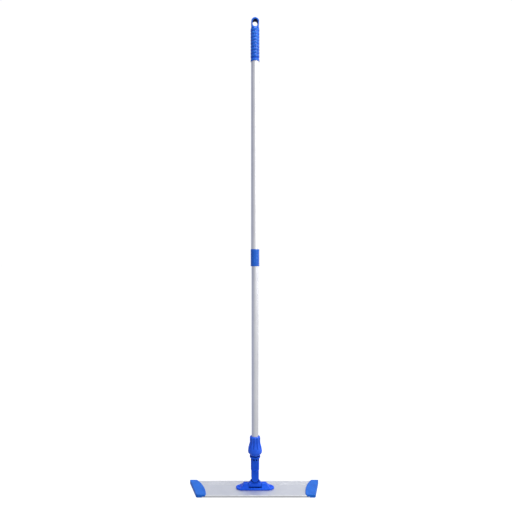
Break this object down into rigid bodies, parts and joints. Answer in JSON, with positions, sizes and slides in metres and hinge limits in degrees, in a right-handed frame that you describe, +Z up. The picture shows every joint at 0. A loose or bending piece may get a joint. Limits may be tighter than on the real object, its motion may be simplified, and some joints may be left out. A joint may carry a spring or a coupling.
{
  "type": "flat mop",
  "caption": "Flat mop: trapezoid aluminium frame with plastic end caps and hook strips, two-way swivel joint, clamp nut and telescopic pole with a hanging grip.",
  "frame": {"origin": "on the floor, under the middle of the frame and on the pole's axis", "axes": "+Z up along the pole, +X along the frame, +Y towards the frame's long back edge"},
  "size_m": [0.416, 0.095, 1.487],
  "materials": {
    "aluminium": "satin anodised",
    "blue_plastic": "satin moulded",
    "steel": "plain turned",
    "grey_nylon": "matt moulded",
    "hook_tape": "woven hooks on a stiff backing"
  },
  "bodies": {
    "frame": {"base_plate": "aluminium", "base_bracket": "blue_plastic", "end_cap_left": "blue_plastic", "end_cap_right": "blue_plastic", "hook_strip_front": "hook_tape", "hook_strip_middle": "hook_tape", "hook_strip_back": "hook_tape", "cap_screw_left_back": "steel", "cap_screw_left_front": "steel", "cap_screw_right_back": "steel", "cap_screw_right_front": "steel", "bracket_screw_left_front": "steel", "bracket_screw_left_back": "steel", "bracket_screw_right_front": "steel", "bracket_screw_right_back": "steel", "tilt_pin": "steel"},
    "cross": {"cross_block": "blue_plastic"},
    "fork": {"swivel_fork": "blue_plastic", "swing_pin": "steel"},
    "collet": {"clamp_collet": "grey_nylon"},
    "nut": {"clamp_nut": "blue_plastic"},
    "lower_pole": {"lower_tube": "aluminium", "tube_end_plug": "grey_nylon", "lock_plug": "grey_nylon", "lock_pin": "steel", "lock_screw": "steel"},
    "lock": {"lock_expander": "grey_nylon"},
    "upper_pole": {"upper_tube": "aluminium", "guide_sleeve": "blue_plastic", "hang_grip": "blue_plastic"}
  },
  "joints": [
    {"name": "head_tilt", "type": "hinge", "parent": "frame", "child": "cross", "pos_m": [0, 0, 0.017], "axis": [1, 0, 0], "range_deg": [-60, 60]},
    {"name": "side_swing", "type": "hinge", "parent": "cross", "child": "fork", "pos_m": [0, 0, 0.041], "axis": [0, 1, 0], "range_deg": [-85, 85]},
    {"name": "clamp_lift", "type": "slide", "parent": "fork", "child": "collet", "axis": [0, 0, 1], "range_m": [0, 0.004]},
    {"name": "nut_turn", "type": "hinge", "parent": "collet", "child": "nut", "pos_m": [0, 0, 0.14], "axis": [0, 0, 1], "range_deg": [0, 360]},
    {"name": "pole_release", "type": "slide", "parent": "fork", "child": "lower_pole", "axis": [0, 0, 1], "range_m": [0, 0.08]},
    {"name": "twist_lock", "type": "hinge", "parent": "lower_pole", "child": "lock", "pos_m": [0, 0, 0.84], "axis": [0, 0, 1], "range_deg": [0, 180]},
    {"name": "telescope", "type": "slide", "parent": "lock", "child": "upper_pole", "axis": [0, 0, 1], "range_m": [-0.52, 0.04]}
  ],
  "couplings": [
    {"joint": "clamp_lift", "follows": "nut_turn", "m_per_rad": 0.00063662}
  ]
}
